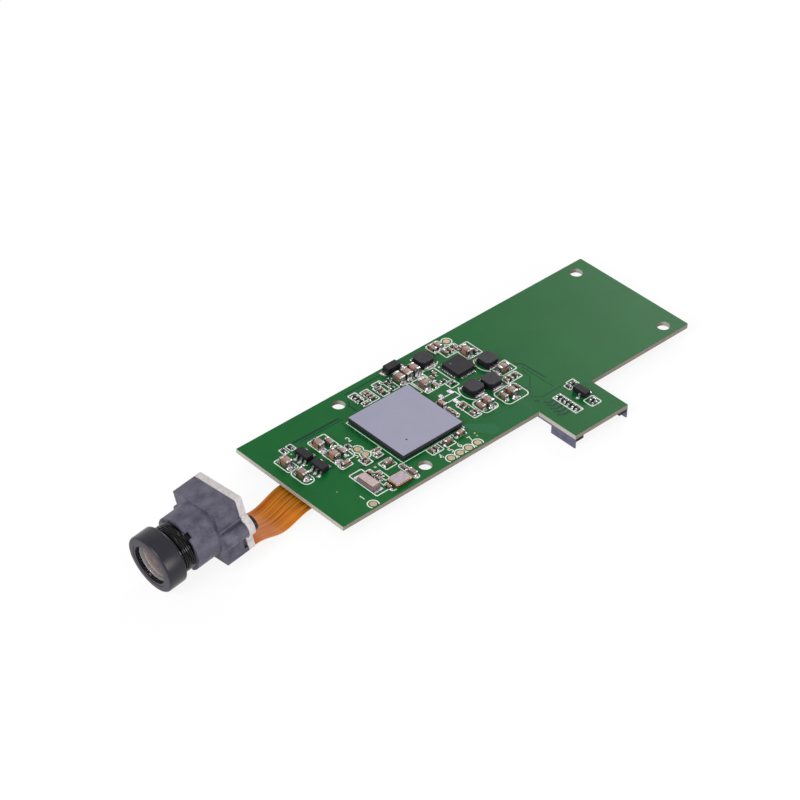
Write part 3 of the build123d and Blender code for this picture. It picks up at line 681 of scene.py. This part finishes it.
dress_chips("large_capacitor", "capacitor_ceramic", 0.07, 0.55)
dress_chips("small_capacitor", "capacitor_ceramic", 0.045, 0.6)
dress_chips("resistor", "resistor_ceramic", 0.03, 0.7)


# Leaded parts: body, leads, and how much wider than its lead the solder is
leaded_parts = (
    ("regulator_1_body", "regulator_1_leads", 0.16),
    ("regulator_2_body", "regulator_2_leads", 0.16),
    ("transistor_body", "transistor_leads", 0.2),
    ("power_chip_body", "power_chip_leads", 0.04),
    ("diode_body", "diode_terminals", 0.3),
    ("inductor_bodies", "inductor_terminals", 0.1),
)


def dress_leads():
    """Solder at the toes of the leaded packages and round the flat terminals."""
    solder = bmesh.new()
    pads = bmesh.new()
    for body, leads, spread in leaded_parts:
        owners = solid_boxes(body)
        for low, high in solid_boxes(leads):
            middle = (low + high) / 2
            owner = min(owners, key=lambda box: ((box[0] + box[1]) / 2 - middle).xy.length)
            away = middle - (owner[0] + owner[1]) / 2
            half = (owner[1] - owner[0]) / 2
            along_x = abs(away.x) / half.x > abs(away.y) / half.y
            out = outward(away, along_x)
            size = high - low
            width = (size.y if along_x else size.x) + spread * MM
            face = (size.x if along_x else size.y) / 2
            foot = Vector((middle.x, middle.y, board_high.z)) + out * face
            height = min(0.16 * MM, 0.6 * size.z)
            solder_mound(solder, foot, out, width, height, 0.25 * MM, min(0.5, face / MM))
            side = Vector((-out.y, out.x, 0))
            corners = [foot + out * (along * MM) + side * (share * width * 0.56) for along, share in
                       ((0.34, -1), (0.34, 1), (-0.55, 1), (-0.55, -1))]
            slab(pads, [board_place(spot) for spot in corners], 0.02)
    add_piece("lead_solder", solder, "board", painted_highlight_tin, (), True)
    add_piece("lead_pads", pads, "board", materials["solder_tin"])


dress_leads()


# Print on the board

ring_places = ((7.15, 0.95), (14.35, 12.45), (14.45, 10.75), (24.0, 0.95), (25.95, 0.95),
               (27.85, 0.95), (29.85, 0.95), (44.6, 23.6))
ring_diameter = 1.85
print_width = 0.2

# Outlines round the small parts, as read off the photograph: x from and to, y from and to, and
# the corner radius. The shift is added to the readings to bring them onto the board.
print_shift = (0.35, 0.36)
print_boxes = (
    (1.9, 4.1, 15.0, 18.6, 0.3), (1.9, 4.1, 10.8, 14.9, 0.9), (9.0, 12.6, 15.0, 18.6, 0.3),
    (8.9, 12.6, 11.2, 14.9, 0.3), (4.4, 5.4, 18.8, 20.2, 0.15), (5.8, 6.9, 18.8, 20.2, 0.15),
    (8.8, 11.1, 9.9, 11.1, 0.2), (8.5, 11.1, 1.6, 8.1, 0.2), (11.1, 12.1, 5.0, 7.2, 0.2),
    (12.1, 13.1, 3.5, 6.0, 0.2), (11.1, 12.6, 0.8, 3.0, 0.5), (15.9, 17.0, 0.6, 4.9, 0.5),
    (12.8, 13.8, 12.8, 14.2, 0.5), (12.2, 13.8, 8.2, 10.0, 0.15), (14.0, 16.3, 5.3, 7.3, 0.2),
    (15.2, 16.9, 9.6, 10.4, 0.15), (14.8, 16.3, 8.4, 9.4, 0.15), (21.9, 23.5, 21.0, 23.2, 0.15),
    (24.0, 25.6, 19.4, 22.6, 0.15), (22.3, 23.9, 19.4, 20.4, 0.15), (26.3, 27.7, 19.3, 22.0, 0.15),
    (26.8, 28.6, 21.9, 22.9, 0.15), (28.5, 30.0, 19.4, 22.0, 0.15), (31.3, 31.9, 16.0, 19.2, 0.15),
    (31.6, 32.9, 11.2, 12.6, 0.5), (31.5, 32.4, 7.7, 10.3, 0.15), (21.9, 24.4, 3.0, 4.7, 0.2),
    (25.0, 27.0, 2.9, 4.6, 0.2), (27.7, 30.0, 3.6, 4.8, 0.5), (32.2, 34.9, 15.1, 19.0, 0.2),
    (35.2, 37.7, 15.2, 19.8, 0.2), (36.1, 37.9, 13.5, 15.1, 0.2), (40.4, 43.3, 22.3, 24.5, 0.5),
    (41.2, 44.9, 20.0, 22.1, 0.2), (43.6, 46.8, 17.2, 21.0, 0.2), (44.6, 48.0, 10.3, 13.2, 0.2),
    (43.9, 47.2, 8.2, 9.9, 0.2), (33.5, 35.2, 5.4, 9.9, 0.2), (35.6, 38.9, 5.0, 8.5, 0.8),
    (40.0, 44.9, 4.1, 8.0, 0.8), (32.9, 35.9, 11.2, 12.6, 0.1), (46.7, 48.4, -4.6, 0.7, 0.1),
    (50.3, 51.1, 0.3, 1.7, 0.15), (51.2, 52.8, 0.6, 2.1, 0.15), (49.9, 52.1, -5.2, -3.1, 0.3),
)
print_dots = ((5.65, 18.56, 0.14), (5.65, 14.86, 0.14), (38.8, 19.36, 0.2))
print_arcs = ((46.3, 14.9, 2.75, 132, 228), (39.4, 11.1, 2.95, 130, 230), (37.75, 22.9, 3.0, 228, 312))

# Plain numbers beside the test pads, one stroke each on a grid 2 wide and 4 high
digit_size = 1.0
digit_width = 0.15
digit_places = ((6.9, 3.2), (14.9, 15.3), (13.0, 11.5), (23.1, 2.35), (25.3, 2.45), (27.2, 2.5), (29.6, 2.5))
digit_strokes = (
    ((0.4, 3.2), (1, 4), (1, 0)),
    ((0, 3.2), (0.5, 4), (1.5, 4), (2, 3.2), (2, 2.4), (0, 0), (2, 0)),
    ((0, 4), (2, 4), (1, 2.5), (2, 1.7), (2, 0.6), (1.4, 0), (0, 0)),
    ((1.5, 0), (1.5, 4), (0, 1.3), (2, 1.3)),
    ((2, 4), (0, 4), (0, 2.3), (1.4, 2.4), (2, 1.6), (2, 0.7), (1.4, 0), (0, 0)),
    ((1.8, 4), (0.5, 2.8), (0, 1.2), (0.6, 0), (1.5, 0), (2, 0.9), (1.4, 1.9), (0.3, 1.8)),
    ((0, 4), (2, 4), (0.8, 0)),
)


def make_print():
    """White outlines and rings, and a plain number beside each test pad in the front row."""
    bm = bmesh.new()
    right, back = print_shift
    for x0, x1, y0, y1, radius in print_boxes:
        outline = round_outline(x0 + right, y0 + back, x1 + right, y1 + back, radius)
        ribbon(bm, outline, print_width, True)
    for x, y in ring_places:
        at_edge = y < ring_diameter
        if at_edge:
            ribbon(bm, arc(x, y, ring_diameter / 2, -40, 220), print_width)
        else:
            ribbon(bm, circle(x, y, ring_diameter / 2), print_width, True)
    for x, y, radius, start, end in print_arcs:
        ribbon(bm, arc(x, y, radius, start, end), print_width)
    for number, (x, y) in enumerate(digit_places):
        strokes = digit_strokes[number]
        points = [(x + (u - 1) * digit_size / 4, y + (v - 2) * digit_size / 4) for u, v in strokes]
        ribbon(bm, points, digit_width)
    for x, y, radius in print_dots:
        slab(bm, circle(x, y, radius, 14), 0.015)
    low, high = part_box("processor_substrate")
    (x0, y0), (x1, y1) = board_place(low), board_place(high)
    ribbon(bm, round_outline(x0 - 0.25, y0 - 0.25, x1 + 0.25, y1 + 0.25, 0.1), 0.14, True)
    add_piece("board_print", bm, "board", print_white)


make_print()


track_height = 0.012
via_spacing = 0.55

# Tracks under the lacquer: width, then the points
dark_tracks = (
    (0.3, ((48.8, 11.8), (49.8, 10.8), (50.1, 5.6))),
    (0.14, ((49.2, 10.5), (49.35, 3.1))),
    (0.14, ((48.5, 9.7), (48.3, 7.6), (44.6, 3.8), (46.0, 2.4), (50.3, 2.4))),
    (0.3, ((44.2, 2.55), (44.9, 1.9))),
    (0.4, ((5.6, 19.9), (7.6, 20.5), (17.4, 20.3))),
    (0.16, ((8.6, 19.9), (17.6, 19.7))),
    (0.45, ((16.4, 10.9), (16.4, 8.4), (13.9, 8.4), (11.6, 8.8))),
    (0.25, ((21.6, 22.6), (20.8, 21.6), (20.8, 19.8))),
    (0.25, ((22.2, 24.2), (30.2, 24.2), (32.4, 22.0))),
)
dark_via_columns = ((16.7, 9.5, 19.6), (17.15, 10.0, 19.0))
pour_outline = ((31.2, 6.1), (35.3, 2.6), (34.9, 0.8), (33.4, 0.6), (31.9, 2.5), (31.1, 4.4))
fine_track_count = 11
array_track_count = 5
bare_dots = ((13.45, 7.35, 0.26), (4.88, 6.85, 0.12), (31.15, 3.0, 0.16), (31.0, 2.3, 0.14))


def make_tracks():
    """Raised tracks, vias and a copper area that show through the lacquer."""
    dark = bmesh.new()
    for width, points in dark_tracks:
        ribbon(dark, points, width, False, track_height)
    for k in range(array_track_count):
        y = 0.56 - 0.93 * k
        x = 45.1 - 0.14 * k
        ribbon(dark, ((x, y + 0.75), (x + 0.75, y), (47.0, y)), 0.38, False, track_height)
    for x, start, end in dark_via_columns:
        count = round((end - start) / via_spacing)
        for k in range(count):
            slab(dark, circle(x + 0.12 * (k % 3), start + via_spacing * k, 0.15, 10), track_height)
    add_piece("board_tracks", dark, "board", track_dark)
    pale = bmesh.new()
    slab(pale, pour_outline[::-1], track_height)
    for k in range(fine_track_count):
        y = 0.7 + 0.3 * k
        ribbon(pale, ((35.4 + 0.06 * k, y), (41.8, y), (43.4, y + 1.6)), 0.13, False, track_height)
    add_piece("board_copper", pale, "board", track_green)
    bare = bmesh.new()
    for x, y, radius in bare_dots:
        slab(bare, circle(x, y, radius, 18), track_height)
    add_piece("board_dots", bare, "board", materials["pad_gold"])


make_tracks()


def make_crystal():
    """Flat silver lid on a thin gold rim, in place of the clock crystal's CAD lid."""
    low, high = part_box("clock_crystal_base")
    (x0, y0), (x1, y1) = board_place(low), board_place(high)
    top = (high.z - board_high.z) / MM
    lid_top = (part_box("clock_crystal_lid")[1].z - board_high.z) / MM
    rim = bmesh.new()
    slab(rim, round_outline(x0, y0, x1, y1, 0.35), (lid_top - top) / 2, top)
    add_piece("clock_crystal_rim", rim, "board", rim_gold)
    lid = bmesh.new()
    inset = 0.13
    outline = round_outline(x0 + inset, y0 + inset, x1 - inset, y1 - inset, 0.28)
    slab(lid, outline, (lid_top - top) / 2, (lid_top + top) / 2)
    add_piece("clock_crystal_cap", lid, "board", lid_silver, ("clock_crystal_lid",))


make_crystal()


mark_ink = lacquered("mark_ink", (34, 32, 36), (48, 46, 52))
mark_grey = lacquered("mark_grey", (84, 82, 86), (100, 98, 102))

# Pin-one marks: name, node that carries it, x, y, radius and material
top_dots = (
    ("processor_dot", "processor_cap", 20.9, 8.1, 0.17, mark_ink),
    ("power_chip_dot", "power_chip_body", 40.1, 18.0, 0.2, mark_grey),
)


def make_top_dots():
    """Pin-one marks: ink on the large chip, a moulded dimple on the small one."""
    for name, node, x, y, radius, material in top_dots:
        top = (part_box(node)[1].z - board_high.z) / MM
        bm = bmesh.new()
        slab(bm, circle(x, y, radius, 20), 0.003, top)
        add_piece(name, bm, "board", material)


make_top_dots()


# Turned parts of the lens unit

def lathe(bm, profile, steps, closed=True, finishes=()):
    """Turned form about the lens axis: each profile point is a radius, or a function of the turn, and z."""
    rings = []
    for radius, z in profile:
        ring = []
        for k in range(steps):
            angle = 2 * pi * k / steps
            r = radius(angle, z) if callable(radius) else radius
            ring.append(bm.verts.new(unit @ Vector((r * cos(angle), r * sin(angle), z))))
        rings.append(ring)
    pairs = list(zip(rings, rings[1:])) + ([(rings[-1], rings[0])] if closed else [])
    for row, (here, there) in enumerate(pairs):
        for k in range(steps):
            face = bm.faces.new((here[k], here[(k + 1) % steps], there[(k + 1) % steps], there[k]))
            face.material_index = next((k + 1 for k, rows in enumerate(finishes) if row in rows), 0)


def thread_radius(angle, z):
    """Screw thread: flat crests and roots joined by slopes, fading out at both ends."""
    turn = (z / thread_pitch - angle / (2 * pi)) % 1
    height = min(1, max(0, 1.5 - 4 * abs(turn - 0.5)))
    fade = min(1, max(0, (z - barrel_back) / 0.2), max(0, (neck_start - z) / 0.15))
    return (thread_root + (thread_crest - thread_root) * height * fade) / 2


def rounded(x, z, radius, start, steps=5):
    """Quarter round of the profile, about this middle, from this angle."""
    return [(x + radius * cos(start + pi / 2 * k / steps), z + radius * sin(start + pi / 2 * k / steps))
            for k in range(steps + 1)]


def make_barrel():
    """Lens barrel with its cut thread, in place of the CAD barrel."""
    bm = bmesh.new()
    length = neck_start - barrel_back
    thread = [(thread_radius, barrel_back + length * k / thread_rows) for k in range(thread_rows + 1)]
    head = head_diameter / 2
    outside = [(neck_diameter / 2, neck_start + 0.02), (neck_diameter / 2, head_start - 0.02)]
    outside += [(neck_diameter / 2 + 0.05, head_start)]
    outside += rounded(head - head_back_radius, head_start + head_back_radius, head_back_radius, -pi / 2)
    outside += rounded(head - head_front_radius, head_end - head_front_radius, head_front_radius, 0)
    inside = [(front_bore_radius, head_end), (front_bore_radius, front_bore_floor)]
    inside += [(middle_bore_radius, front_bore_floor), (middle_bore_radius, middle_bore_floor)]
    inside += [(stop_radius, middle_bore_floor), (stop_radius, stop_floor)]
    inside += [(rear_bore_radius, stop_floor), (rear_bore_radius, barrel_back)]
    bore = range(len(thread + outside), len(thread + outside + inside))
    lathe(bm, thread + outside + inside, turned_steps, True, (range(thread_rows + 3), bore))
    finish = materials["barrel_black"]
    barrel = add_piece("barrel_threaded", bm, "lens_barrel", finish, ("lens_barrel",), True)
    barrel.data.materials.append(thread_gloss)
    barrel.data.materials.append(bore_dark)


def crown(rim, height, radius):
    """How far a sphere of this height over this rim has dropped at a radius."""
    sphere = (rim ** 2 + height ** 2) / (2 * height)
    return sphere - (sphere ** 2 - radius ** 2) ** 0.5


def make_front_glass():
    """Smooth domed glass with a hollow back, in place of the CAD glass."""
    steps = 14
    front = front_seat + front_glass_edge + front_dome
    hollow_rim = 0.8 * front_glass_radius
    face = []
    back = []
    for k in range(steps + 1):
        radius = max(tip_radius, front_glass_radius * k / steps)
        face.append((radius, front - crown(front_glass_radius, front_dome, radius)))
        radius = max(tip_radius, hollow_rim * (1 - k / steps))
        back.append((radius, front_seat + front_hollow - crown(hollow_rim, front_hollow, radius)))
    bm = bmesh.new()
    lathe(bm, face + [(front_glass_radius, front_seat)] + back, turned_steps)
    add_piece("front_glass", bm, "lens_glass", materials["lens_glass"], ("front_lens",), True)


# Inner element: radius, and height from its crown
inner_face = (
    (tip_radius, 0), (0.35, -0.02), (0.7, -0.09), (1.05, -0.22), (1.3, -0.36), (1.6, -0.32),
    (2.1, -0.12), (2.6, 0.1), (2.75, 0.16),
)
inner_depth = 0.8


def make_inner_glass():
    """Shallow coated element behind the front glass."""
    bm = bmesh.new()
    face = [(radius, inner_crown + height) for radius, height in inner_face]
    back = [(radius, inner_crown - inner_depth) for radius in (inner_face[-1][0], tip_radius)]
    lathe(bm, face + back, 64)
    add_piece("inner_glass", bm, "lens_glass", inner_glass(), (), True)


make_barrel()
make_front_glass()
make_inner_glass()


# Flat cable: down the sensor board's back, round a bend, then a sagging span to the connector

cable_width = 7.5
cable_thickness = 0.15
cable_tail = 6.0
cable_bend_radius = 1.0
cable_sag = Vector((-5.8, 0, -2.28))
cable_plug = Vector((4.8, 11.4, -1.25))
cable_free_end = Vector((0.6, 11.4, -1.25))


def cable_stations():
    """Middle of the cable, its direction and the way across it, from the lens unit to the plug."""
    right = unit.col[0].xyz / MM
    up = unit.col[1].xyz / MM
    out = unit.col[2].xyz / MM
    level = Vector((0, -1, 0))
    back = -block_depth - sensor_board_thickness - cable_thickness / 2
    foot = 0.1 - block_size / 2
    zero = at(0, 0)

    def place(y, z):
        return (unit @ Vector((0, y, z)) - zero) / MM

    stations = [(place(foot + cable_tail * (1 - k / 4), back), -up, right) for k in range(5)]
    for k in range(1, 10):
        angle = pi / 2 * k / 9
        y = foot - cable_bend_radius * sin(angle)
        z = back - cable_bend_radius * (1 - cos(angle))
        stations.append((place(y, z), -up * cos(angle) - out * sin(angle), right))
    start, start_along = stations[-1][:2]
    low = Vector((cable_sag.x, (start.y + cable_plug.y) / 2, cable_sag.z))
    low_along = (cable_free_end - start).normalized()
    spans = ((start, start_along, low, low_along), (low, low_along, cable_free_end, Vector((1, 0, 0))))
    for number, (begin, begin_along, end, end_along) in enumerate(spans):
        reach = (end - begin).length
        for k in range(1, 25):
            t = k / 24
            spot = (begin * (2 * t ** 3 - 3 * t ** 2 + 1) + begin_along * reach * (t ** 3 - 2 * t ** 2 + t)
                    + end * (3 * t ** 2 - 2 * t ** 3) + end_along * reach * (t ** 3 - t ** 2))
            turn = (number + t) / 2
            stations.append((spot, None, right * (1 - turn) + level * turn))
    stations.append((cable_plug, Vector((1, 0, 0)), level))
    return stations


def make_cable():
    """Smooth strip, charted along and across for its tracks."""
    stations = cable_stations()
    half = cable_thickness / 2
    columns = 24
    section = [(-1 + 2 * c / columns, half) for c in range(columns + 1)]
    section += [(1 - 2 * c / columns, -half) for c in range(columns + 1)]
    count = len(section)
    bm = bmesh.new()
    chart = bm.loops.layers.uv.new("chart")
    rings = []
    lengths = [0.0]
    for k, (spot, along, across) in enumerate(stations):
        if k:
            lengths.append(lengths[-1] + (spot - stations[k - 1][0]).length)
        if along is None:
            along = (stations[k + 1][0] - stations[k - 1][0]).normalized()
        across = (across - along * across.dot(along)).normalized()
        normal = across.cross(along)
        points = [spot + across * (u * cable_width / 2) + normal * lift for u, lift in section]
        rings.append([bm.verts.new(at(*point)) for point in points])
    for k in range(len(rings) - 1):
        for c in range(count):
            after = (c + 1) % count
            corners = ((k, c), (k, after), (k + 1, after), (k + 1, c))
            face = bm.faces.new([rings[row][column] for row, column in corners])
            for loop, (row, column) in zip(face.loops, corners):
                loop[chart].uv = (lengths[row] / lengths[-1], (section[column][0] + 1) / 2)
    bm.faces.new(rings[0])
    bm.faces.new(rings[-1][::-1])
    add_piece("cable_strip", bm, "board", materials["cable_amber"], ("flat_cable",), True)


make_cable()


# Floor, light and camera

def make_stage():
    """A white floor that keeps a faint shadow of what stands on it."""
    reach = 3.0
    mesh = bpy.data.meshes.new("floor")
    corners = [(-reach, -reach), (reach, -reach), (reach, reach), (-reach, reach)]
    mesh.from_pydata([(x, y, floor_height) for x, y in corners], [], [(0, 1, 2, 3)])
    floor = bpy.data.objects.new("floor", mesh)
    bpy.context.scene.collection.objects.link(floor)
    s = Shader("floor_white", Roughness=0.8)
    s.colour(s.mix(s.noise(60), srgb(250, 250, 250), srgb(252, 252, 252)))
    glow = s.node("ShaderNodeEmission")
    seen = s.node("ShaderNodeLightPath")
    rays = s.math("MAXIMUM", seen.outputs["Is Camera Ray"], seen.outputs["Is Glossy Ray"])
    rays = s.math("MAXIMUM", rays, seen.outputs["Is Transmission Ray"])
    blend = s.node("ShaderNodeMixShader")
    s.fill(blend.inputs[0], s.math("MULTIPLY", rays, 0.88))
    s.tree.links.new(s.skin.outputs[0], blend.inputs[1])
    s.tree.links.new(glow.outputs[0], blend.inputs[2])
    s.tree.links.new(blend.outputs[0], s.tree.nodes["Material Output"].inputs["Surface"])
    mesh.materials.append(s.material)


def make_world():
    """Even surroundings, white where they are seen."""
    world = bpy.data.worlds.new("surroundings")
    world.use_nodes = True
    tree = world.node_tree
    back = tree.nodes["Background"]
    back.inputs["Color"].default_value = (1, 1, 1, 1)
    seen = tree.nodes.new("ShaderNodeLightPath")
    rays = seen.outputs["Is Camera Ray"]
    for kind in ("Is Glossy Ray", "Is Transmission Ray"):
        either = tree.nodes.new("ShaderNodeMath")
        either.operation = "MAXIMUM"
        tree.links.new(rays, either.inputs[0])
        tree.links.new(seen.outputs[kind], either.inputs[1])
        rays = either.outputs[0]
    strength = tree.nodes.new("ShaderNodeMapRange")
    tree.links.new(rays, strength.inputs["Value"])
    strength.inputs["To Min"].default_value = 0.5
    strength.inputs["To Max"].default_value = 1.0
    tree.links.new(strength.outputs["Result"], back.inputs["Strength"])
    bpy.context.scene.world = world


def softbox(name, place, aim, size, power):
    light = bpy.data.lights.new(name, "AREA")
    light.shape = "DISK"
    light.size = size
    light.energy = power
    lamp = bpy.data.objects.new(name, light)
    lamp.location = place
    lamp.rotation_euler = (Vector(aim) - Vector(place)).to_track_quat("-Z", "Y").to_euler()
    bpy.context.scene.collection.objects.link(lamp)


camera_azimuth = radians(-43.87988)
camera_elevation = radians(38.35829)
camera_roll = radians(1.40811)
camera_distance = 455.467 * MM
camera_aim = at(28.035, 17.241)
camera_focal = 125.871


def make_camera():
    back = Vector((sin(camera_azimuth) * cos(camera_elevation),
                   -cos(camera_azimuth) * cos(camera_elevation), sin(camera_elevation)))
    right = Vector((cos(camera_azimuth), sin(camera_azimuth), 0))
    up = back.cross(right)
    turned_right = right * cos(camera_roll) + up * sin(camera_roll)
    turned_up = up * cos(camera_roll) - right * sin(camera_roll)
    data = bpy.data.cameras.new("camera")
    data.sensor_width = 36
    data.lens = camera_focal
    data.clip_start = 0.01
    camera = bpy.data.objects.new("camera", data)
    turn = Matrix((turned_right, turned_up, back)).transposed().to_4x4()
    camera.matrix_world = Matrix.Translation(camera_aim + back * camera_distance) @ turn
    bpy.context.scene.collection.objects.link(camera)
    bpy.context.scene.camera = camera


bpy.context.scene.view_settings.view_transform = "Standard"
make_stage()
make_world()
softbox("key_light", (-0.6, -0.1, 0.42), (0, 0, 0), 0.4, 3.6)
softbox("far_light", (0.6, 0.34, 0.38), (0.02, 0, 0), 0.3, 1.9)
softbox("front_light", (0.0, -0.62, 0.16), (0, 0, 0), 0.3, 1.5)
make_camera()
